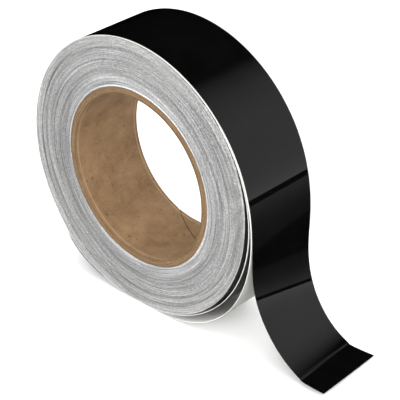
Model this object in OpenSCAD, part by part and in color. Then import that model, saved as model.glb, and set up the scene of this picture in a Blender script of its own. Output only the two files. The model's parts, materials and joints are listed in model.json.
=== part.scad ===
// Roll of sign vinyl on a spiral-wound paper core, standing on its tread.
// The roll's axis is Y, the free end of the strip leaves toward +X, and Z is up.
// The frame's origin is the middle of the core's bore.

/* [Core] */
// Inside diameter of the paper core (3 inch)
core_bore_d = 76.2; // [70:0.1:82]
// Wall thickness of the paper core
core_wall = 3.6; // [2:0.1:6]
// Thickness of the thin plies at the bore and at the outside
face_ply = 0.4; // [0.2:0.05:0.8]
// Width of the butt gap where a ply's edges meet
seam_gap = 0.25; // [0.1:0.05:0.6]
// Slope of the butt seam from the plane of the roll
seam_slope = 33.3; // [20:0.1:60]
// Where the bore ply's seam crosses the middle of the core, round the axis
seam_angle = -59.5; // [-180:0.5:180]
// Turn from one ply's seam to the next
seam_step = 137; // [60:1:180]

/* [Strip] */
// Width of the release liner, and of the roll (1.5 inch)
strip_width = 38.1; // [25:0.1:60]
// Margin of bare liner along each edge of the film
film_margin = 0.6; // [0:0.05:1]
// Thickness of the vinyl film
film_thickness = 0.08; // [0.05:0.01:0.2]
// Thickness of the adhesive under the film
adhesive_thickness = 0.03; // [0.02:0.01:0.06]
// Thickness of the paper release liner
liner_thickness = 0.13; // [0.08:0.01:0.2]

/* [Wound turns] */
// Radius of the tightly wound turns
pack_radius = 63.5; // [55:0.1:70]
// Sideways lean of the tight turns inside the loosened outer turn
pack_lean = [-0.4, -0.1]; // [-1:0.1:1]
// How far the turns step along the axis from one group to the next
group_step = 0.15; // [0:0.05:0.5]
// Angle covered by the tape that starts the first turn on the core
starter_angle = 50; // [20:5:90]
// Thickness of the starter tape
starter_thickness = 0.06; // [0.04:0.01:0.1]

/* [Loosened outer turn] */
// Top of the outer turn (X, Z)
outer_turn_top = [0.2, 64.3]; // [-70:0.1:70]
// Bend from the top on to where the film lifts off its liner: [bend radius, angle]
peel_bend = [-65.4, 75]; // [-90:0.1:90]
// Bend radius from the top back to the left side
left_bend = 65; // [55:0.1:70]
// Height of the straight stretch above the slack corner at the lower left
slack_height = 5.1; // [0:0.1:20]
// Bend radius of the slack corner
slack_bend = 58.5; // [40:0.1:64]
// Length of the stretch that the roll's weight presses flat on the floor
pressed_length = 7.5; // [4:0.1:20]
// Bend radius from the floor up to the right side
right_bend = 63.6; // [55:0.1:70]
// Bend of the last stretch, which goes in under the turn's own end: [bend radius, angle]
tuck_bend = [62, 16]; // [0:0.1:90]

/* [Film tail] */
// First piece of the free film, still close to the liner: [bend radius, angle]
tail_start_bend = [-80, 16.5]; // [-120:0.5:120]
// Length of the straight piece that hangs down
tail_straight = 13; // [8:0.5:20]
// Bend of the long sweep toward the floor: [bend radius, angle]
tail_sweep_bend = [48, 50]; // [20:0.5:90]
// Bend of the end that flattens along the floor: [bend radius, angle]
tail_end_bend = [23, 55]; // [15:0.5:90]
// Gap between neighbouring pieces of the flexing film
flex_gap = 0.06; // [0.02:0.01:0.2]

/* [Released liner] */
// Liner from the peel place to where it starts to flex: [bend radius, angle]
liner_start_bend = [-80, 40]; // [-120:0.5:90]
// Direction of the bared liner at the peel place
liner_heading = -76.5; // [-90:0.5:-75]
// Bend of the flexing end of the liner: [bend radius, angle]
liner_end_bend = [-47.5, 55]; // [-90:0.5:90]

/* [Hidden] */
$fn = 96;
// thick plies between the thin bore ply and outer ply
body_plies = 5;
// groups of turns that stand proud of or behind one another
turn_groups = 6;
// how many steps each group stands toward the far side
group_steps = [0, -1, 0.7, -0.4, 1, -0.7];
// flexing pieces of the long sweep, of the film's end and of the bared liner
sweep_pieces = 3;
end_pieces = 2;
liner_pieces = 3;
// the outer turn from its top back round the roll: [bend radius, angle]
// a bend radius of 0 is a straight stretch and takes a length in place of the angle
outer_turn_bends = [
  [left_bend, 90],
  [0, slack_height],
  [slack_bend, 90],
  [0, pressed_length],
  [right_bend, 90],
  tuck_bend
];
core_r = core_bore_d / 2;
core_outer_r = core_r + core_wall;
body_ply = (core_wall - 2 * face_ply) / body_plies;
ply_count = body_plies + 2;
film_width = strip_width - 2 * film_margin;
group_start_r = core_outer_r + starter_thickness;
group_pitch = (pack_radius - group_start_r) / turn_groups;
film_top = film_thickness + adhesive_thickness;
// where the film lifts off its liner, and the strip's direction there
peel_point = point_after(outer_turn_top, 0, peel_bend);
peel_heading = heading_after(0, peel_bend);
// every bend of the free film, one for each flexing piece
tail_bends = concat(
  [tail_start_bend, [0, tail_straight]],
  [for (i = [1:sweep_pieces]) [tail_sweep_bend[0], tail_sweep_bend[1] / sweep_pieces]],
  [for (i = [1:end_pieces]) [tail_end_bend[0], tail_end_bend[1] / end_pieces]]
);
liner_bends = concat(
  [liner_start_bend],
  [for (i = [1:liner_pieces]) [liner_end_bend[0], liner_end_bend[1] / liner_pieces]]
);
kraft = [0.66, 0.51, 0.38];
kraft_end = [0.74, 0.59, 0.44];
edge_grey = [0.74, 0.74, 0.73];
gloss_black = [0.03, 0.03, 0.03];
liner_white = [0.93, 0.93, 0.91];
adhesive_tint = [0.45, 0.45, 0.43];
tape_tan = [0.8, 0.74, 0.6];

// ---- the strip's path in the plane across the roll ----

// unit vector to the left of a heading
function left_of(h) = [-sin(h), cos(h)];

// heading after a bend
function heading_after(h, bend) = bend[0] == 0 ? h : h + sign(bend[0]) * bend[1];

// point after a bend
function point_after(p, h, bend) =
  bend[0] == 0
  ? p + bend[1] * [cos(h), sin(h)]
  : p + bend[0] * left_of(h) - bend[0] * left_of(heading_after(h, bend));

// heading and point at the start of piece k
function heading_at(h, bends, k) = k == 0 ? h : heading_after(heading_at(h, bends, k - 1), bends[k - 1]);
function point_at(p, h, bends, k) =
  k == 0 ? p : point_after(point_at(p, h, bends, k - 1), heading_at(h, bends, k - 1), bends[k - 1]);

// sector of a ring from angle a to angle a + sweep
module ring_sector(inner, outer, a, sweep) {
  reach = 2 * outer;
  intersection() {
    difference() {
      circle(r = outer);
      circle(r = inner);
    }
    polygon([
      [0, 0],
      reach * [cos(a), sin(a)],
      reach * [cos(a + sweep / 2), sin(a + sweep / 2)],
      reach * [cos(a + sweep), sin(a + sweep)]
    ]);
  }
}

// one bend of a layer that lies between low and high to the left of the path
module layer_piece(p, h, bend, low, high, gap) {
  radius = abs(bend[0]);
  trim = bend[0] == 0 ? 0 : gap / 2 / radius * 180 / PI;
  if (bend[0] == 0)
    translate(p)
      rotate(h)
        translate([gap / 2, low])
          square([bend[1] - gap, high - low]);
  else
    translate(p + bend[0] * left_of(h))
      if (bend[0] > 0)
        ring_sector(radius - high, radius - low, h - 90 + trim, bend[1] - 2 * trim);
      else
        ring_sector(radius + low, radius + high, h + 90 - bend[1] + trim, bend[1] - 2 * trim);
}

// turns the drawing plane to stand across the roll, and gives it a width along Y
module across_roll(width, shift) {
  translate([0, shift, 0])
    rotate([90, 0, 0])
      linear_extrude(height = width, center = true)
        children();
}

// ---- paper core ----

// one ply of the core, with its slanted butt seam
module core_ply(i) {
  inner = core_r + (i == 0 ? 0 : face_ply + (i - 1) * body_ply);
  thick = (i == 0 || i == ply_count - 1) ? face_ply : body_ply;
  seam_reach = 45;
  seam_length = 120;
  seam_from = 10;
  rotate([90, 0, 0])
    difference() {
      linear_extrude(height = strip_width, center = true)
        difference() {
          circle(r = inner + thick);
          circle(r = inner);
        }
      rotate([0, 0, seam_angle + i * seam_step])
        rotate([seam_slope, 0, 0])
          translate([seam_from, -seam_length / 2, -seam_gap / 2])
            cube([seam_reach, seam_length, seam_gap]);
    }
}

module core_bore_ply() {
  color(kraft) core_ply(0);
}

module core_body_ply(i) {
  color(kraft_end) core_ply(i);
}

module core_outer_ply() {
  color(kraft_end) core_ply(ply_count - 1);
}

module starter_tape() {
  starter_from = 20;
  color(tape_tan)
    across_roll(film_width, 0)
      ring_sector(core_outer_r, group_start_r, starter_from, starter_angle);
}

// ---- wound turns ----

// one group of tight turns; the outermost leans with the pack
module wound_turns(i) {
  last = i == turn_groups - 1;
  color(edge_grey)
    across_roll(strip_width, group_step * group_steps[i])
      difference() {
        translate(last ? pack_lean : [0, 0])
          circle(r = group_start_r + (i + 1) * group_pitch);
        circle(r = group_start_r + i * group_pitch);
      }
}

// one layer of the loosened outer turn, on to the peel place and back round the roll
module outer_turn_layer(low, high) {
  layer_piece(outer_turn_top, 0, peel_bend, low, high, 0);
  for (k = [0:len(outer_turn_bends) - 1])
    layer_piece(
      point_at(outer_turn_top, 180, outer_turn_bends, k),
      heading_at(180, outer_turn_bends, k),
      outer_turn_bends[k],
      -high,
      -low,
      0
    );
}

module outer_turn_liner() {
  color(liner_white)
    across_roll(strip_width, 0)
      outer_turn_layer(-liner_thickness, 0);
}

module outer_turn_adhesive() {
  color(adhesive_tint)
    across_roll(film_width, 0)
      outer_turn_layer(0, adhesive_thickness);
}

module outer_turn_film() {
  color(gloss_black)
    across_roll(film_width, 0)
      outer_turn_layer(adhesive_thickness, film_top);
}

// ---- free film and bared liner ----

// piece k of the free film's film or adhesive layer
module tail_layer(k, low, high) {
  across_roll(film_width, 0)
    layer_piece(
      point_at(peel_point, peel_heading, tail_bends, k - 1),
      heading_at(peel_heading, tail_bends, k - 1),
      tail_bends[k - 1],
      low,
      high,
      flex_gap
    );
}

module film_tail(k) {
  color(gloss_black) tail_layer(k, adhesive_thickness, film_top);
}

module tail_adhesive(k) {
  color(adhesive_tint) tail_layer(k, 0, adhesive_thickness);
}

// piece k of the bared liner
module released_liner(k) {
  color(liner_white)
    across_roll(strip_width, 0)
      layer_piece(
        point_at(peel_point, liner_heading, liner_bends, k - 1),
        heading_at(liner_heading, liner_bends, k - 1),
        liner_bends[k - 1],
        -liner_thickness,
        0,
        flex_gap
      );
}

// ---- nodes ----

core_bore_ply();
core_body_ply(1);  // core_body_ply_1
core_body_ply(2);  // core_body_ply_2
core_body_ply(3);  // core_body_ply_3
core_body_ply(4);  // core_body_ply_4
core_body_ply(5);  // core_body_ply_5
core_outer_ply();
starter_tape();
wound_turns(0);  // wound_turns_1
wound_turns(1);  // wound_turns_2
wound_turns(2);  // wound_turns_3
wound_turns(3);  // wound_turns_4
wound_turns(4);  // wound_turns_5
wound_turns(5);  // wound_turns_6
outer_turn_liner();
outer_turn_adhesive();
outer_turn_film();
film_tail(1);  // film_tail_1
film_tail(2);  // film_tail_2
film_tail(3);  // film_tail_3
film_tail(4);  // film_tail_4
film_tail(5);  // film_tail_5
film_tail(6);  // film_tail_6
film_tail(7);  // film_tail_7
tail_adhesive(1);  // tail_adhesive_1
tail_adhesive(2);  // tail_adhesive_2
tail_adhesive(3);  // tail_adhesive_3
tail_adhesive(4);  // tail_adhesive_4
tail_adhesive(5);  // tail_adhesive_5
tail_adhesive(6);  // tail_adhesive_6
tail_adhesive(7);  // tail_adhesive_7
released_liner(1);  // released_liner_1
released_liner(2);  // released_liner_2
released_liner(3);  // released_liner_3
released_liner(4);  // released_liner_4
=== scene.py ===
"""Looks for the roll of sign vinyl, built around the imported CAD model. Lengths in mm are turned to metres by MM."""
import json
import math

import bmesh
import bpy
import numpy as np
from mathutils import Matrix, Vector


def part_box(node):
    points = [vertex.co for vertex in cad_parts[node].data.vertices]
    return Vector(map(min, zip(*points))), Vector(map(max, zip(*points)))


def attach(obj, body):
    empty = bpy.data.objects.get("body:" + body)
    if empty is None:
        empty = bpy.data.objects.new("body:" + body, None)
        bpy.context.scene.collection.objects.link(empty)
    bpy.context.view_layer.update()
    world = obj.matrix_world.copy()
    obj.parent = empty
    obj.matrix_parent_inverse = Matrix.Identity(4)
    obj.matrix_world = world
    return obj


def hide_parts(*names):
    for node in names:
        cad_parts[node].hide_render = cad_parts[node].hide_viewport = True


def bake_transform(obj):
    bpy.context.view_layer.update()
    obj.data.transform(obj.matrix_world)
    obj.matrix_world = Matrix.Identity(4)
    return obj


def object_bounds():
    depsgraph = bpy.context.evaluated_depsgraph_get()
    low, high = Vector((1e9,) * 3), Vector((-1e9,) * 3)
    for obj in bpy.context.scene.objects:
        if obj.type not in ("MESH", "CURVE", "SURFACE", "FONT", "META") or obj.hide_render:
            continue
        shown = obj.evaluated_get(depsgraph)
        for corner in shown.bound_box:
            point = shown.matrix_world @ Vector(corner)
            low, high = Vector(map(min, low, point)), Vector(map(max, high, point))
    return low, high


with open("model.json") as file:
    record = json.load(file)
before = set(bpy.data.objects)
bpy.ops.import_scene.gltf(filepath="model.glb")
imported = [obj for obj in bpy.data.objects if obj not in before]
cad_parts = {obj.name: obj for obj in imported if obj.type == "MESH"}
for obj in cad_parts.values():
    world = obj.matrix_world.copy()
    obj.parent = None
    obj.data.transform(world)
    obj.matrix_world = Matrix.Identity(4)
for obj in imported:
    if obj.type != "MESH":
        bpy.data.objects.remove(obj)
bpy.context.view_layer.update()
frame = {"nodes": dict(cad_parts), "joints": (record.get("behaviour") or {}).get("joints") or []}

MM = 0.001
scene = bpy.context.scene
scene.view_settings.view_transform = "Standard"
scene.view_settings.look = "None"
rng = np.random.default_rng(7)

# ---------------------------------------------------------------- sizes
LINER_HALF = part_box("outer_turn_liner")[1][1]
FILM_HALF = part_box("outer_turn_film")[1][1]
FLOOR_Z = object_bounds()[0][2]
BORE_R = -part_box("core_bore_ply")[0][0]
CORE_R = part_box("core_outer_ply")[1][0]
# heights over the liner's upper face: the adhesive's top and the film's top; and the liner's thickness below it
ADHESIVE = 0.03 * MM
FILM_TOP = 0.11 * MM
LINER = 0.13 * MM
# one turn of the strip, and the radius of the tightly wound turns in the CAD
TURN = 0.24 * MM
PACK_R = 63.5 * MM
# a hairline kept free between two layers of the strip
EDGE = 0.006 * MM
FACE_PLY = 0.4 * MM


# ---------------------------------------------------------------- camera
def set_camera():
    """The camera at the photograph's place: its axes and its place, as columns of its matrix."""
    data = bpy.data.cameras.new("camera")
    data.lens = 138.4
    data.sensor_width = 36
    data.clip_start = 0.01
    data.clip_end = 20
    cam = bpy.data.objects.new("camera", data)
    scene.collection.objects.link(cam)
    right = (0.72546, 0.68800, -0.01900)
    up = (-0.33271, 0.37472, 0.86539)
    back = (0.60251, -0.62148, 0.50075)
    place = (0.42088, -0.41413, 0.32219)
    cam.matrix_world = Matrix([*zip(right, up, back, place), (0, 0, 0, 1)])
    scene.camera = cam


# ---------------------------------------------------------------- materials
class Nodes:
    """A short way to write a node material."""

    def __init__(self, name):
        self.mat = bpy.data.materials.new(name)
        self.mat.use_nodes = True
        self.tree = self.mat.node_tree
        self.shader = self.tree.nodes["Principled BSDF"]

    def add(self, kind, **values):
        node = self.tree.nodes.new(kind)
        for key, value in values.items():
            setattr(node, key, value)
        return node

    def link(self, out, into):
        self.tree.links.new(out, into)

    def place(self):
        return self.add("ShaderNodeTexCoord").outputs["Object"]

    def math(self, op, a, b=0.0, c=None):
        node = self.add("ShaderNodeMath", operation=op)
        for i, value in enumerate((a, b, c)):
            if value is None:
                continue
            if isinstance(value, (int, float)):
                node.inputs[i].default_value = value
            else:
                self.link(value, node.inputs[i])
        return node.outputs[0]

    def scaled(self, vector, scale):
        node = self.add("ShaderNodeMapping")
        node.inputs["Scale"].default_value = scale
        self.link(vector, node.inputs["Vector"])
        return node.outputs[0]

    def noise(self, vector, scale, detail=2.0, rough=0.5):
        node = self.add("ShaderNodeTexNoise")
        node.inputs["Scale"].default_value = scale
        node.inputs["Detail"].default_value = detail
        node.inputs["Roughness"].default_value = rough
        self.link(vector, node.inputs["Vector"])
        return node.outputs["Fac"]

    def ramp(self, fac, stops):
        node = self.add("ShaderNodeValToRGB")
        ramp = node.color_ramp
        while len(ramp.elements) < len(stops):
            ramp.elements.new(0.5)
        for element, (at, color) in zip(ramp.elements, stops):
            element.position = at
            element.color = (*color, 1) if len(color) == 3 else color
        self.link(fac, node.inputs["Fac"])
        return node.outputs["Color"]

    def mix(self, fac, a, b, kind="MIX"):
        node = self.add("ShaderNodeMix", data_type="RGBA", blend_type=kind)
        for socket, value in ((node.inputs[0], fac), (node.inputs[6], a), (node.inputs[7], b)):
            if isinstance(value, (int, float)):
                socket.default_value = value
            elif isinstance(value, tuple):
                socket.default_value = (*value, 1)
            else:
                self.link(value, socket)
        return node.outputs[2]

    def bump(self, height, strength, distance):
        node = self.add("ShaderNodeBump")
        node.inputs["Strength"].default_value = strength
        node.inputs["Distance"].default_value = distance
        self.link(height, node.inputs["Height"])
        self.link(node.outputs[0], self.shader.inputs["Normal"])

    def set(self, **values):
        for key, value in values.items():
            socket = self.shader.inputs[key.replace("_", " ")]
            if isinstance(value, (int, float, tuple)):
                socket.default_value = value
            else:
                self.link(value, socket)

    def parts(self):
        """The place's X, Y and Z."""
        split = self.add("ShaderNodeSeparateXYZ")
        self.link(self.place(), split.inputs[0])
        return split.outputs

    def from_axis(self, x, z):
        """Distance from the roll's axis."""
        return self.math("SQRT", self.math("ADD", self.math("MULTIPLY", x, x), self.math("MULTIPLY", z, z)))

    def rings(self, around):
        """The distance from the axis, and a place that goes once round a circle of the given radius."""
        x, _, z = self.parts()
        r = self.from_axis(x, z)
        joined = self.add("ShaderNodeCombineXYZ")
        self.link(r, joined.inputs[0])
        self.link(self.math("MULTIPLY", self.math("DIVIDE", x, r), around), joined.inputs[1])
        self.link(self.math("MULTIPLY", self.math("DIVIDE", z, r), around), joined.inputs[2])
        return joined.outputs[0]


def vinyl_material():
    m = Nodes("gloss_vinyl")
    grime = m.noise(m.place(), 90, 4, 0.6)
    m.set(Base_Color=m.ramp(grime, [(0.3, (0.0012, 0.0012, 0.0013)), (0.75, (0.0022, 0.0022, 0.0023))]))
    m.set(Roughness=m.math("MULTIPLY_ADD", m.noise(m.place(), 700, 3), 0.02, 0.015))
    m.set(IOR=1.5)
    m.bump(m.noise(m.place(), 140, 2, 0.4), 0.02, 0.0002)
    return m.mat


def adhesive_material():
    m = Nodes("film_adhesive")
    speck = m.noise(m.place(), 1600, 4, 0.6)
    m.set(Base_Color=m.ramp(speck, [(0.3, (0.09, 0.09, 0.088)), (0.7, (0.16, 0.16, 0.155))]))
    m.set(Roughness=m.math("MULTIPLY_ADD", speck, 0.2, 0.25))
    m.bump(speck, 0.15, 0.00003)
    return m.mat


def liner_material(name, dark, light):
    m = Nodes(name)
    fibre = m.noise(m.scaled(m.place(), (1, 0.35, 1)), 1500, 5, 0.65)
    cloud = m.noise(m.place(), 60, 3)
    tone = m.math("ADD", m.math("MULTIPLY", fibre, 0.5), m.math("MULTIPLY", cloud, 0.5))
    m.set(Base_Color=m.ramp(tone, [(0.3, dark), (0.7, light)]))
    m.set(Roughness=m.math("MULTIPLY_ADD", cloud, 0.12, 0.36))
    m.bump(fibre, 0.12, 0.00003)
    return m.mat


def kraft_material(name, dark, light, fleck):
    m = Nodes(name)
    place = m.place()
    grain = m.noise(m.scaled(place, (1, 0.6, 1)), 1100, 6, 0.7)
    cloud = m.noise(place, 95, 4, 0.6)
    specks = m.noise(place, 420, 2, 0.4)
    fine_specks = m.noise(m.scaled(place, (1, 1.7, 1)), 1150, 2, 0.4)
    tone = m.math("ADD", m.math("MULTIPLY", grain, 0.4), m.math("MULTIPLY", cloud, 0.6))
    base = m.ramp(tone, [(0.36, dark), (0.62, light)])
    marks = m.math("ADD", m.ramp(specks, [(0.69, (0, 0, 0)), (0.74, (1, 1, 1))]),
                   m.ramp(fine_specks, [(0.68, (0, 0, 0)), (0.74, (0.7, 0.7, 0.7))]))
    spotted = m.mix(m.math("MULTIPLY", marks, 0.6), base, fleck)
    # the ends of the bore are rubbed pale along a thin line
    line_from, line_width = 0.0170, 0.0012
    from_middle = m.math("ABSOLUTE", m.parts()[1])
    line = m.ramp(m.math("DIVIDE", m.math("SUBTRACT", from_middle, line_from), line_width),
                  [(0.0, (0, 0, 0)), (0.3, (1, 1, 1)), (0.55, (1, 1, 1)), (0.8, (0, 0, 0))])
    m.set(Base_Color=m.mix(m.math("MULTIPLY", line, 0.25), spotted, (0.50, 0.38, 0.27)))
    m.set(Roughness=m.math("MULTIPLY_ADD", grain, 0.15, 0.75))
    m.set(Specular_IOR_Level=0.25)
    m.bump(grain, 0.3, 0.00008)
    return m.mat


def kraft_end_material():
    m = Nodes("kraft_cut_edge")
    streak = m.noise(m.rings(0.0012), 2600, 5, 0.65)
    fluff = m.noise(m.place(), 1300, 5, 0.7)
    tone = m.math("ADD", m.math("MULTIPLY", streak, 0.6), m.math("MULTIPLY", fluff, 0.4))
    base = m.ramp(tone, [(0.36, (0.094, 0.057, 0.028)), (0.5, (0.15, 0.094, 0.048)), (0.66, (0.225, 0.149, 0.083))])
    m.set(Base_Color=base)
    m.set(Roughness=m.math("MULTIPLY_ADD", fluff, 0.15, 0.8))
    m.set(Specular_IOR_Level=0.2)
    m.bump(fluff, 0.4, 0.00008)
    return m.mat


def web_edge_material():
    """The turns' cut edges: paper, adhesive and film in every 0.24 mm, some turns dirtier than others."""
    m = Nodes("wound_edge")
    x, _, z = m.parts()
    r, angle = m.from_axis(x, z), m.math("ARCTAN2", z, x)
    turn = m.math("SUBTRACT", m.math("DIVIDE", r, TURN), m.math("MULTIPLY", angle, 1 / (2 * math.pi)))
    phase = m.math("FRACT", turn)
    layers = m.ramp(phase, [(0.0, (1, 1, 1)), (0.50, (1, 1, 1)), (0.58, (0.40, 0.40, 0.40)),
                            (0.70, (0.20, 0.20, 0.20)), (0.94, (0.20, 0.20, 0.20)), (1.0, (1, 1, 1))])
    broad = m.noise(m.rings(0.0009), 560, 3, 0.75)
    fine = m.noise(m.rings(0.0006), 2900, 1, 0.5)
    dashes = m.noise(m.rings(0.03), 2500, 1, 0.5)
    grit = m.noise(m.place(), 2900, 1, 0.5)
    tone = m.math("ADD", m.math("ADD", m.math("MULTIPLY", broad, 0.12), m.math("MULTIPLY", fine, 0.31)),
                  m.math("ADD", m.math("MULTIPLY", dashes, 0.24), m.math("MULTIPLY", grit, 0.33)))
    base = m.ramp(tone, [(0.38, (0.11, 0.11, 0.11)), (0.5, (0.295, 0.295, 0.293)), (0.62, (0.58, 0.58, 0.575))])
    # paler and bluer next to the core, and a few clean or dirty turns further out
    # (share of the way out, brightness), and a blue tint next to the core
    inmost, depth = 0.0417, 0.0223
    bands = m.ramp(m.math("DIVIDE", m.math("SUBTRACT", r, inmost), depth), [
        (0.0, (1.6, 1.6, 1.6)), (0.03, (1.6, 1.6, 1.6)), (0.05, (1.0, 1.02, 1.06)), (0.07, (1.14, 1.15, 1.18)),
        (0.11, (1.08, 1.09, 1.11)), (0.17, (1.12, 1.12, 1.12)), (0.22, (1.0, 1.0, 1.0)), (0.275, (0.84, 0.84, 0.84)),
        (0.30, (1.0, 1.0, 1.0)), (0.37, (0.84, 0.84, 0.84)), (0.40, (1.0, 1.0, 1.0)), (0.495, (1.0, 1.0, 1.0)),
        (0.51, (1.3, 1.3, 1.3)), (0.525, (1.0, 1.0, 1.0)), (0.62, (0.95, 0.95, 0.95)), (0.80, (0.98, 0.98, 0.98)),
        (0.93, (1.12, 1.12, 1.11)), (1.0, (1.3, 1.3, 1.27))])
    shade = m.mix(0.40, (1.0, 1.0, 1.0), layers, "MULTIPLY")
    m.set(Base_Color=m.mix(1.0, m.mix(1.0, base, shade, "MULTIPLY"), bands, "MULTIPLY"))
    m.set(Roughness=m.math("MULTIPLY_ADD", grit, 0.15, 0.32))
    m.set(IOR=1.7)
    m.set(Specular_IOR_Level=0.9)
    m.set(Anisotropic=0.95)
    m.set(Anisotropic_Rotation=0.25)
    tangent = m.add("ShaderNodeTangent", direction_type="RADIAL", axis="Y")
    m.link(tangent.outputs[0], m.shader.inputs["Tangent"])
    m.bump(m.math("ADD", m.math("MULTIPLY", phase, 0.4), m.math("ADD", dashes, grit)), 0.3, 0.00006)
    return m.mat


def tape_material():
    m = Nodes("starter_paper")
    crepe = m.noise(m.scaled(m.place(), (1, 0.2, 1)), 1400, 4)
    m.set(Base_Color=m.ramp(crepe, [(0.3, (0.50, 0.42, 0.28)), (0.7, (0.62, 0.54, 0.38))]))
    m.set(Roughness=m.math("MULTIPLY_ADD", crepe, 0.15, 0.65))
    m.bump(crepe, 0.2, 0.00004)
    return m.mat


# ---------------------------------------------------------------- meshes
def make_mesh(name, verts, quads, normals, mats, mat_of=None):
    """A mesh of quads with a stated normal at every corner."""
    verts = np.asarray(verts, np.float32).reshape(-1, 3)
    quads = np.asarray(quads, np.int32).reshape(-1, 4)
    mesh = bpy.data.meshes.new(name)
    mesh.vertices.add(len(verts))
    mesh.vertices.foreach_set("co", verts.ravel())
    mesh.loops.add(quads.size)
    mesh.loops.foreach_set("vertex_index", quads.ravel())
    mesh.polygons.add(len(quads))
    mesh.polygons.foreach_set("loop_start", np.arange(0, quads.size, 4, dtype=np.int32))
    mesh.polygons.foreach_set("use_smooth", np.ones(len(quads), bool))
    for mat in mats:
        mesh.materials.append(mat)
    if mat_of is not None:
        mesh.polygons.foreach_set("material_index", np.asarray(mat_of, np.int32))
    mesh.update(calc_edges=True)
    if normals is not None:
        mesh.normals_split_custom_set(np.asarray(normals, float).reshape(-1, 3).tolist())
    obj = bpy.data.objects.new(name, mesh)
    scene.collection.objects.link(obj)
    return obj


def unit(v):
    return v / np.maximum(np.linalg.norm(v, axis=-1, keepdims=True), 1e-12)


def sheet_solid(name, base, normal, low, high, mats, side_mat=0, under_mat=0):
    """A thin closed solid on a grid of points, from low to high along the normal.

    base and normal are (rows, columns, 3).
    """
    rows, cols = base.shape[:2]
    top, bottom = base + normal * high, base + normal * low
    verts = np.concatenate([top.reshape(-1, 3), bottom.reshape(-1, 3)])
    index = np.arange(rows * cols).reshape(rows, cols)
    under = index + rows * cols
    along = unit(np.gradient(base, axis=0))
    across = unit(np.gradient(base, axis=1))
    i = np.arange(rows - 1)
    j = i + 1
    quads, normals, mat_of = [], [], []

    def put(a, b, c, d, na, nb, nc, nd, mat):
        quads.append(np.stack([a, b, c, d], -1).reshape(-1, 4))
        normals.append(np.stack([na, nb, nc, nd], -2).reshape(-1, 3))
        mat_of.append(np.full(a.size, mat))

    a, b, c, d = index[i, :-1], index[j, :-1], index[j, 1:], index[i, 1:]
    na, nb, nc, nd = normal[i, :-1], normal[j, :-1], normal[j, 1:], normal[i, 1:]
    put(a, b, c, d, na, nb, nc, nd, 0)
    a, b, c, d = under[i, 1:], under[j, 1:], under[j, :-1], under[i, :-1]
    na, nb, nc, nd = -normal[i, 1:], -normal[j, 1:], -normal[j, :-1], -normal[i, :-1]
    put(a, b, c, d, na, nb, nc, nd, under_mat)
    for col, sign in ((0, -1), (cols - 1, 1)):
        n = sign * across[:, col]
        if sign > 0:
            put(index[i, col], index[j, col], under[j, col], under[i, col], n[i], n[j], n[j], n[i], side_mat)
        else:
            put(under[i, col], under[j, col], index[j, col], index[i, col], n[i], n[j], n[j], n[i], side_mat)
    k = np.arange(cols - 1)
    for row, sign in ((0, -1), (rows - 1, 1)):
        n = sign * along[row]
        if sign > 0:
            put(index[row, k + 1], index[row, k], under[row, k], under[row, k + 1],
                n[k + 1], n[k], n[k], n[k + 1], side_mat)
        else:
            put(index[row, k], index[row, k + 1], under[row, k + 1], under[row, k],
                n[k], n[k + 1], n[k + 1], n[k], side_mat)
    quads = np.concatenate(quads)
    normals = np.concatenate(normals)
    # the grid may run either way round, so every face is turned to agree with its stated normals
    p = verts[quads]
    face = np.cross(p[:, 2] - p[:, 0], p[:, 3] - p[:, 1])
    flip = np.einsum("ij,ij->i", face, normals.reshape(-1, 4, 3).mean(1)) < 0
    if flip.sum() > len(quads) / 2:
        quads = quads[:, ::-1].copy()
        normals = normals.reshape(-1, 4, 3)[:, ::-1].reshape(-1, 3)
    return make_mesh(name, verts, quads, normals, mats, np.concatenate(mat_of))


# ---------------------------------------------------------------- the strip's path
# lengths in mm and headings in degrees, in the X-Z plane
STEP = 0.25


def eased(headings, window=6.0):
    """Headings with every change of bend spread over a few mm."""
    width = int(window / STEP) | 1
    kernel = np.ones(width) / width
    for _ in range(2):
        first, last = headings[1] - headings[0], headings[-1] - headings[-2]
        half = width // 2
        padded = np.concatenate([headings[0] - first * np.arange(half, 0, -1), headings,
                                 headings[-1] + last * np.arange(1, half + 1)])
        headings = np.convolve(padded, kernel, "valid")
    return headings


def walked(start, headings):
    """Points (x, z), one for each heading."""
    mid = np.radians((headings[1:] + headings[:-1]) / 2)
    x = start[0] + np.concatenate([[0], np.cumsum(np.cos(mid) * STEP)])
    z = start[1] + np.concatenate([[0], np.cumsum(np.sin(mid) * STEP)])
    return np.stack([x, z], -1)


def path_of_bends(start, heading, bends):
    """Tangent bends (radius, angle), or (0, length) for a straight stretch; all bends turn left."""
    at, turn = [0.0], [heading]
    for radius, amount in bends:
        at.append(at[-1] + (math.radians(amount) * radius if radius else amount))
        turn.append(turn[-1] + (amount if radius else 0))
    return walked(start, eased(np.interp(np.arange(0, at[-1], STEP), at, turn)))


def path_of_knots(start, knots, length, crease=None):
    """Distances and points along a path whose headings are given at knots; crease is (distance, turn)."""
    s = np.arange(0, length + STEP / 2, STEP)
    h = eased(np.interp(s, [k[0] for k in knots], [k[1] for k in knots]))
    h = h - h[0] + knots[0][1]
    if crease is not None:
        # a sharp little fold: a dip, and then a quick turn up to the flat end
        at, turn = crease
        turn_over, dip, dip_before, dip_width = 1.6, 16, 0.2, 0.45
        rise = np.clip((s - at) / turn_over, 0, 1)
        h = h + turn * rise * rise * (3 - 2 * rise) - dip * np.exp(-(((s - at + dip_before) / dip_width) ** 2))
    return s, walked(start, h)


# where the film lifts off its liner, and the strip's heading there
PEEL = (63.37, 15.83)
PEEL_HEADING = -75.0
# the loosened outer turn from the peel place back round the roll: (bend radius, degrees), or (0, length)
TURN_BENDS = [(65.4, 75), (65, 125), (0, 8.72), (34, 35), (0, 8.72), (63, 20), (0, 3.3), (63.6, 90), (66, 15.2),
              (64.2, 26)]
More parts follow.
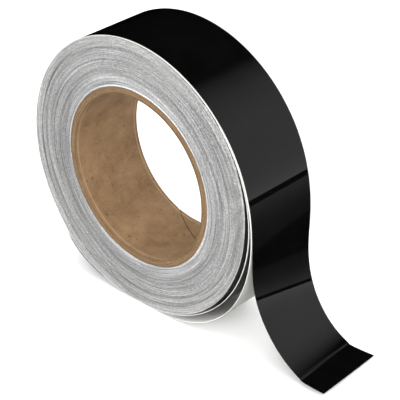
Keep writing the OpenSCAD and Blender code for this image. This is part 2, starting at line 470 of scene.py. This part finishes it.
# headings along the free film's two edges and the bared liner: (distance from the peel place, degrees)
NEAR_KNOTS = [(0, -75), (12, -84), (24, -90), (36, -90), (47, -76), (57, -63), (67, -52), (77, -39), (86, -26),
              (92, -19), (103, -15)]
FAR_KNOTS = [(0, -75), (12, -84), (24, -92), (36, -93), (47, -84), (57, -72), (67, -58), (77, -43), (86, -26),
             (92, -17), (103, -13)]
LINER_KNOTS = [(0, -74), (12, -84), (24, -92), (36, -102), (48, -113), (60, -124), (72, -138), (84, -152),
               (92, -160), (102, -171)]
NEAR_CREASE = (88.0, 17)
FAR_CREASE = (89.5, 18)
NEAR_LENGTH = 100.6
TAIL_LENGTH = 103.2
LINER_LENGTH = 101.6
# where the joints lie along the film and the liner, and where their pieces are cut
FILM_CUTS = (-12.0, 11.6, 29.6, 43.2, 57.2, 71.2, 83.6, TAIL_LENGTH)
LINER_CUTS = (46.0, 63.6, 78.8, LINER_LENGTH)
# where the film's front edge stands off its liner, round the axis: (degrees, share), and how far
STANDS_OFF = [(-141, 0), (-132, 1), (-116, 1), (-107, 0)]
STAND_OFF = 0.60 * MM

turn_p = path_of_bends(PEEL, PEEL_HEADING + 180, TURN_BENDS)
near_s, near_p = path_of_knots(PEEL, NEAR_KNOTS, NEAR_LENGTH, NEAR_CREASE)
far_s, far_p = path_of_knots(PEEL, FAR_KNOTS, TAIL_LENGTH, FAR_CREASE)
_, bare_p = path_of_knots(PEEL, LINER_KNOTS, LINER_LENGTH)
# the two edges get the same number of rows, so that a row runs square across the film
share = far_s / far_s[-1] * near_s[-1]
near_p = np.stack([np.interp(share, near_s, near_p[:, i]) for i in (0, 1)], -1)

# one run of the film, and one of the liner, from the tucked-in end on to the free end
TUCKED = len(turn_p) - 1
film_s = np.concatenate([-np.arange(TUCKED, 0, -1) * STEP, np.arange(len(near_p)) * STEP])
film_near = np.concatenate([turn_p[:0:-1], near_p])
film_far = np.concatenate([turn_p[:0:-1], far_p])
liner_s = np.concatenate([-np.arange(TUCKED, 0, -1) * STEP, np.arange(len(bare_p)) * STEP])
liner_run = np.concatenate([turn_p[:0:-1], bare_p])


def strip_grid(near, far, half, cols):
    """Points and normals of a grid on the strip; its width across stays the same where the two edges part."""
    part = np.linalg.norm(near - far, axis=1) * MM
    shrink = np.sqrt(np.clip(1 - (part / (2 * half)) ** 2, 0.5, 1))
    t = np.linspace(-1, 1, cols)
    w = (t + 1) / 2
    x = near[:, None, 0] * (1 - w) + far[:, None, 0] * w
    z = near[:, None, 1] * (1 - w) + far[:, None, 1] * w
    y = half * t[None, :] * shrink[:, None]
    base = np.stack([x * MM, y, z * MM], -1)
    normal = unit(np.cross(np.gradient(base, axis=0), np.gradient(base, axis=1)))
    outward = np.stack([x, 0 * x, z], -1)
    if np.einsum("ijk,ijk->ij", normal, outward)[: len(near) // 2].mean() < 0:
        normal = -normal
    return base, normal


def cut(s, low, high):
    """The rows between two distances, both ends included."""
    return slice(int(np.searchsorted(s, low - 1e-6)), int(np.searchsorted(s, high - 1e-6)) + 1)


# ---------------------------------------------------------------- pieces
def joints_named(start):
    """The frame's joints with this start of name, in order along the strip."""
    found = [j for j in frame["joints"] if j["name"].startswith(start)]
    return sorted(found, key=lambda j: int(j["name"].split("_")[-1]))


def blend_over(piece):
    """Bakes a piece's transform into its mesh; it bends nothing."""
    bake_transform(piece)


def film_and_adhesive(vinyl, glue):
    base, normal = strip_grid(film_near, film_far, FILM_HALF, 13)
    # at the slack corner the film's front edge stands off its liner, and shows its shaded underside
    round_at = np.degrees(np.arctan2(base[:, 0, 2], base[:, 0, 0]))
    stands = np.interp(round_at, *zip(*STANDS_OFF)) * (film_s < 0)
    stands = stands * stands * (3 - 2 * stands)
    base[:, 0] += normal[:, 0] * stands[:, None] * STAND_OFF
    base[:, 0, 1] -= stands * (LINER_HALF - FILM_HALF)
    for label, low, high, mat, turn_node, tail_node, slot in (
        ("film", ADHESIVE, FILM_TOP, vinyl, "outer_turn_film", "film_tail_%d", "vinyl_film"),
        ("adhesive", 0.0, ADHESIVE - EDGE, glue, "outer_turn_adhesive", "tail_adhesive_%d", "adhesive"),
    ):
        k = cut(film_s, film_s[0], FILM_CUTS[0])
        turn = sheet_solid("outer_" + label, base[k], normal[k], low, high, [mat])
        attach(turn, "roll")
        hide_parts(turn_node)
        for i, joint in enumerate(joints_named("film_bend")):
            k = cut(film_s, FILM_CUTS[i], FILM_CUTS[i + 1])
            piece = sheet_solid("%s_flex_%d" % (label, i + 1), base[k], normal[k], low, high, [mat])
            blend_over(piece)
            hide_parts(tail_node % (i + 1))


def liner_pieces(release_side_painted_shade, paper):
    base, normal = strip_grid(liner_run, liner_run, LINER_HALF, 9)

    # the outer face takes the release side's grey, which is painted shade; the under face and the edges are paper
    def sheet(name, k):
        return sheet_solid(name, base[k], normal[k], -LINER, -EDGE, [release_side_painted_shade, paper], side_mat=1, under_mat=1)

    turn = sheet("liner_turn", cut(liner_s, liner_s[0], LINER_CUTS[0]))
    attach(turn, "roll")
    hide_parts("outer_turn_liner", "released_liner_1")
    for i, joint in enumerate(joints_named("liner_bend")):
        piece = sheet("liner_flex_%d" % (i + 1), cut(liner_s, LINER_CUTS[i], LINER_CUTS[i + 1]))
        blend_over(piece)
        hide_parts("released_liner_%d" % (i + 2))


def ring_quads(around, count):
    """Faces of a ring whose points are numbered along its closed profile of count points, and then round the axis."""
    i, k = np.arange(around), np.arange(count)
    j, l = (i + 1) % around, (k + 1) % count
    index = np.arange(around * count).reshape(around, count)
    return np.stack([index[i][:, k], index[i][:, l], index[j][:, l], index[j][:, k]], -1).reshape(-1, 4)


def ring_piece(name, points, mats, mat_of_edge, sharp):
    """A closed ring from points (around, profile, 3), with its edges sharp past an angle in degrees."""
    around, count = points.shape[:2]
    quads = ring_quads(around, count)
    obj = make_mesh(name, points.reshape(-1, 3), quads, None, mats, np.tile(np.asarray(mat_of_edge), around))
    bm = bmesh.new()
    bm.from_mesh(obj.data)
    bmesh.ops.recalc_face_normals(bm, faces=bm.faces)
    for e in bm.edges:
        if len(e.link_faces) == 2:
            e.smooth = e.calc_face_angle(0) < math.radians(sharp)
    bm.to_mesh(obj.data)
    bm.free()
    return obj


def core_pieces(inner_paper, cut_paper, glued_paper):
    # bore ply: one paper strip wound once, its edges meeting in a slanted butt seam
    around, cols = 330, 61
    half = LINER_HALF
    y = np.linspace(-half, half, cols)
    seam_at, seam_slant = np.radians(-59.5), np.radians(2.6)
    seam = seam_at - seam_slant * y / MM
    gap = 0.30 * MM / BORE_R
    u = np.linspace(0, 1, around)
    angle = seam[None, :] + gap + u[:, None] * (2 * math.pi - 2 * gap)
    from_seam = np.minimum(u, 1 - u)[:, None] * 2 * math.pi * BORE_R
    lift = 0.16 * MM * np.exp(-from_seam / (0.7 * MM))
    radial = np.stack([np.cos(angle), 0 * angle, np.sin(angle)], -1)
    base = radial * (BORE_R + lift)[..., None]
    base[..., 1] = y[None, :]
    bore = sheet_solid("core_bore_paper", base, -radial, (lift - FACE_PLY)[..., None], 0.0, [inner_paper, cut_paper],
                       side_mat=1)
    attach(bore, "roll")
    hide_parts("core_bore_ply")

    # wall: the other plies, with a shallow groove between each on the cut ends
    inner = BORE_R + FACE_PLY + 0.02 * MM
    plies = np.linspace(inner, CORE_R - FACE_PLY, 6).tolist() + [CORE_R - 0.01 * MM]
    groove, lip, end_lip = 0.10 * MM, 0.045 * MM, 0.03 * MM
    front = []
    for i, set_back in enumerate((0.05, 0.0, 0.07, 0.02, 0.05, 0.0)):
        first = plies[i] + (end_lip if i == 0 else lip)
        final = plies[i + 1] - (end_lip if i == 5 else lip)
        for q in (0.0, 0.35, 0.7, 1.0):
            front.append((first + (final - first) * q, -half + set_back * MM))
        if i < 5:
            front.append((plies[i + 1], -half + set_back * MM + groove))
    loop = np.array(front + [(r, -y) for r, y in front[::-1]])
    # the second material is the glued paper of the inner and the outer face
    mat_of_edge = ([0] * (len(front) - 1) + [1]) * 2

    # the ends are crowned, and not quite even
    around = 300
    angle = (np.arange(around) * 2 * math.pi / around)[:, None]
    r, y = np.repeat(loop[None, :, 0], around, 0), np.repeat(loop[None, :, 1], around, 0)
    middle, reach = (BORE_R + CORE_R) / 2, (CORE_R - BORE_R) / 2
    y = y - np.sign(y) * 0.30 * MM * ((r - middle) / reach) ** 2
    uneven = 0.03 * MM * np.sin(7 * angle + r * 900) + 0.02 * MM * np.sin(23 * angle - r * 2100)
    y = y - np.sign(y) * np.maximum(uneven, -0.02 * MM)
    points = np.stack([r * np.cos(angle), y, r * np.sin(angle)], -1)
    wall = ring_piece("core_wall", points, [cut_paper, glued_paper], mat_of_edge, 35)
    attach(wall, "roll")
    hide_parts(*["core_body_ply_%d" % i for i in range(1, 6)], "core_outer_ply")


# the pack's outline, pressed out of round: slack at the right, snug at the top and bottom: (degrees, radius in mm)
PACK_OUTLINE = [
    (-180, 64.45), (-170, 64.6), (-160, 64.75), (-148, 64.8), (-140, 65.0), (-132, 65.7), (-125, 66.0), (-118, 65.2),
    (-111, 64.5), (-104, 64.2), (-95, 64.05), (-85, 64.15), (-75, 64.3), (-67, 64.35), (-60, 64.15), (-52, 63.8),
    (-45, 63.5), (-33, 63.0), (-23, 62.6), (-5, 62.6), (5, 63.0), (12, 63.4), (22, 63.75), (38, 63.95), (52, 64.15),
    (68, 64.15), (90, 63.9), (135, 64.0), (160, 64.25), (180, 64.45)]
# turns that stand out or in on their own: (number of the turn, mm)
ODD_TURNS = ((3, 0.25), (9, -0.15), (27, -0.28), (43, 0.2), (60, -0.22), (74, 0.18))
# across one turn: (share of its thickness, how far its edge stands back), for the liner and then the film
TURN_EDGE = ((0.04, 0.0), (0.50, 0.0), (0.58, 0.10 * MM), (0.96, 0.10 * MM))


def wound_web(edge_mat, vinyl):
    """The tight turns as one wound web: each turn's edge stands a little in or out of its neighbours."""
    first = CORE_R + 0.07 * MM
    count = int((PACK_R - first) / TURN)
    pitch = (PACK_R - first) / count
    # groups of turns are stepped, as in the CAD, and each turn wanders a little
    steps = np.repeat([0, -1, 0.7, -0.4, 1, -0.7], int(math.ceil(count / 6)))[:count] * 0.10 * MM
    jitter = np.cumsum(rng.normal(0, 0.03, count)) * MM
    jitter -= np.linspace(jitter[0], jitter[-1], count)
    jitter = np.clip(jitter, -0.12 * MM, 0.12 * MM) + rng.normal(0, 0.025, count) * MM
    offset = steps + jitter
    for turn, size in ODD_TURNS:
        offset[turn] += size * MM
    rows = [(first + (i + q) * pitch, LINER_HALF - back, offset[i]) for i in range(count) for q, back in TURN_EDGE]
    radius, depth, shift = np.array(rows).T
    t = (radius - first) / (PACK_R - first)

    around = 320
    angle = np.arange(around) * 2 * math.pi / around
    wave = 0.03 * MM * (np.sin(2 * angle[:, None] + 9 * t[None, :]) + np.sin(5 * angle[:, None] - 14 * t[None, :]))
    outer = np.interp((np.degrees(angle) + 180) % 360 - 180, *zip(*PACK_OUTLINE)) * MM
    width = around // 72
    kernel = np.ones(2 * width + 1) / (2 * width + 1)
    outer = np.convolve(np.concatenate([outer[-width:], outer, outer[:width]]), kernel, "valid")
    bulge = (outer - PACK_R)[:, None] * t[None, :] ** 2.5
    x = (radius[None, :] + bulge) * np.cos(angle)[:, None]
    z = (radius[None, :] + bulge) * np.sin(angle)[:, None]
    near, far = (np.stack([x, sign * depth[None, :] + shift[None, :] + wave, z], -1) for sign in (-1, 1))
    points = np.concatenate([near, far[:, ::-1]], 1)
    # the second material is the film's face on the outside of the pack
    mat_of_edge = np.zeros(points.shape[1], int)
    mat_of_edge[len(radius) - 1] = 1
    web = ring_piece("wound_web", points, [edge_mat, vinyl], mat_of_edge, 30)
    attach(web, "roll")
    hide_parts(*["wound_turns_%d" % i for i in range(1, 7)])


# ---------------------------------------------------------------- studio
def area_light(name, at, target, size, power, glossy=True, stops=None):
    """A soft light; stops grade it from its upper side (0) to its lower side (1)."""
    data = bpy.data.lights.new(name, "AREA")
    data.shape = "RECTANGLE"
    data.size, data.size_y = size
    data.energy = power
    obj = bpy.data.objects.new(name, data)
    scene.collection.objects.link(obj)
    obj.visible_camera = False
    obj.visible_glossy = glossy
    z = unit(np.array(at, float) - np.array(target, float))
    x = unit(np.cross((0.0, 1.0, 0.0), z))
    y = np.cross(z, x)
    obj.matrix_world = Matrix([*zip(x, y, z, at), (0, 0, 0, 1)])
    if stops:
        data.use_nodes = True
        tree = data.node_tree
        split = tree.nodes.new("ShaderNodeSeparateXYZ")
        tree.links.new(tree.nodes.new("ShaderNodeNewGeometry").outputs["Parametric"], split.inputs[0])
        ramp = tree.nodes.new("ShaderNodeValToRGB")
        while len(ramp.color_ramp.elements) < len(stops):
            ramp.color_ramp.elements.new(0.5)
        for element, (place, value) in zip(ramp.color_ramp.elements, stops):
            element.position = place
            element.color = (value, value, value, 1)
        tree.links.new(split.outputs[0], ramp.inputs["Fac"])
        tree.links.new(ramp.outputs["Color"], tree.nodes["Emission"].inputs["Color"])
    return obj


def card(name, upper, lower, radiance, stops, side=1):
    """A card that runs along the axis, seen from the roll between two elevations, far enough off to act as a sky."""
    reach, length, along = 1.1, 2.6, side * 0.95
    middle, half = math.radians((upper + lower) / 2), math.radians((upper - lower) / 2)
    size = 2 * reach * math.tan(half)
    centre = (reach * math.cos(middle), along, reach * math.sin(middle))
    power = radiance * math.pi * size * length
    return area_light(name, centre, (0.0, along, 0.0), (size, length), power, stops=stops)


def studio():
    world = bpy.data.worlds.new("studio")
    world.use_nodes = True
    world.node_tree.nodes["Background"].inputs["Color"].default_value = (1, 1, 1, 1)
    world.node_tree.nodes["Background"].inputs["Strength"].default_value = 0.85
    scene.world = world
    # a pale sky that lights the roll softly, but isn't mirrored in the film
    world.cycles_visibility.glossy = False

    m = Nodes("floor")
    cloud = m.noise(m.place(), 2.0, 2)
    m.set(Base_Color=m.ramp(cloud, [(0.2, (0.91, 0.91, 0.91)), (0.8, (0.93, 0.93, 0.93))]))
    m.set(Roughness=0.9)
    reach, cells = 4.0, 9
    steps = np.linspace(-reach, reach, cells)
    gx, gy = np.meshgrid(steps, steps, indexing="ij")
    verts = np.stack([gx, gy, np.full_like(gx, FLOOR_Z)], -1).reshape(-1, 3)
    index = np.arange(cells * cells).reshape(cells, cells)
    quads = np.stack([index[:-1, :-1], index[1:, :-1], index[1:, 1:], index[:-1, 1:]], -1).reshape(-1, 4)
    floor = make_mesh("floor", verts, quads, None, [m.mat])
    floor.visible_glossy = False

    # a broad card at the far right, which the film mirrors as the grey on its tread
    card("far_card", 83, -14.5, 0.84, [
        (0, 0.0), (0.05, 0.06), (0.135, 0.24), (0.207, 0.36), (0.27, 0.5), (0.376, 0.63), (0.47, 0.72), (0.80, 0.74),
        (0.90, 0.82), (1.0, 0.96)])
    # a dim one below it
    card("low_card", -17.9, -42, 0.34, [(0, 0.8), (0.1, 0.75), (0.3, 0.5), (0.55, 0.26), (1.0, 0.1)])
    # soft keys; only the one at the left shines on the slit edges, and the film mirrors none of the others
    area_light("front_key", (-0.1, -1.6, 0.25), (0, 0, 0), (1.3, 1.0), 27.5, glossy=False)
    area_light("left_fill", (-1.3, -1.2, 0.5), (0, 0, 0), (2.0, 1.8), 19.0,
               stops=[(0, 0.0), (0.25, 0.35), (0.5, 1.0), (0.75, 0.35), (1.0, 0.0)])
    area_light("right_key", (1.5, -0.6, 0.7), (0, 0, 0), (1.2, 1.2), 12.0, glossy=False)
    area_light("back_fill", (0.4, 1.7, 0.9), (0, 0, 0), (2.0, 1.0), 26.0, glossy=False)
    area_light("top_key", (0.1, -0.1, 1.8), (0, 0, 0), (3.2, 3.2), 19.0, glossy=False)
    # a dim card behind the camera, which the film mirrors only towards the back
    card("back_card", 150, 35, 0.3, [(0, 0.1), (0.35, 0.8), (0.6, 0.9), (1.0, 0.1)], side=-1)


set_camera()
vinyl, glue = vinyl_material(), adhesive_material()
# the liner's release side is painted grey: painted shade for the shadow that the film tail casts on it
release = liner_material("release_coating_painted_shade", (0.50, 0.50, 0.47), (0.60, 0.60, 0.565))
paper = liner_material("release_paper", (0.80, 0.79, 0.76), (0.90, 0.895, 0.87))
film_and_adhesive(vinyl, glue)
liner_pieces(release, paper)
core_pieces(
    kraft_material("kraft_inner", (0.145, 0.085, 0.041), (0.237, 0.150, 0.079), (0.075, 0.041, 0.019)),
    kraft_end_material(),
    kraft_material("kraft_glued", (0.07, 0.04, 0.02), (0.11, 0.065, 0.035), (0.05, 0.03, 0.015)),
)
wound_web(web_edge_material(), vinyl)
tape = frame["nodes"]["starter_tape"]
tape.data.materials.clear()
tape.data.materials.append(tape_material())
studio()
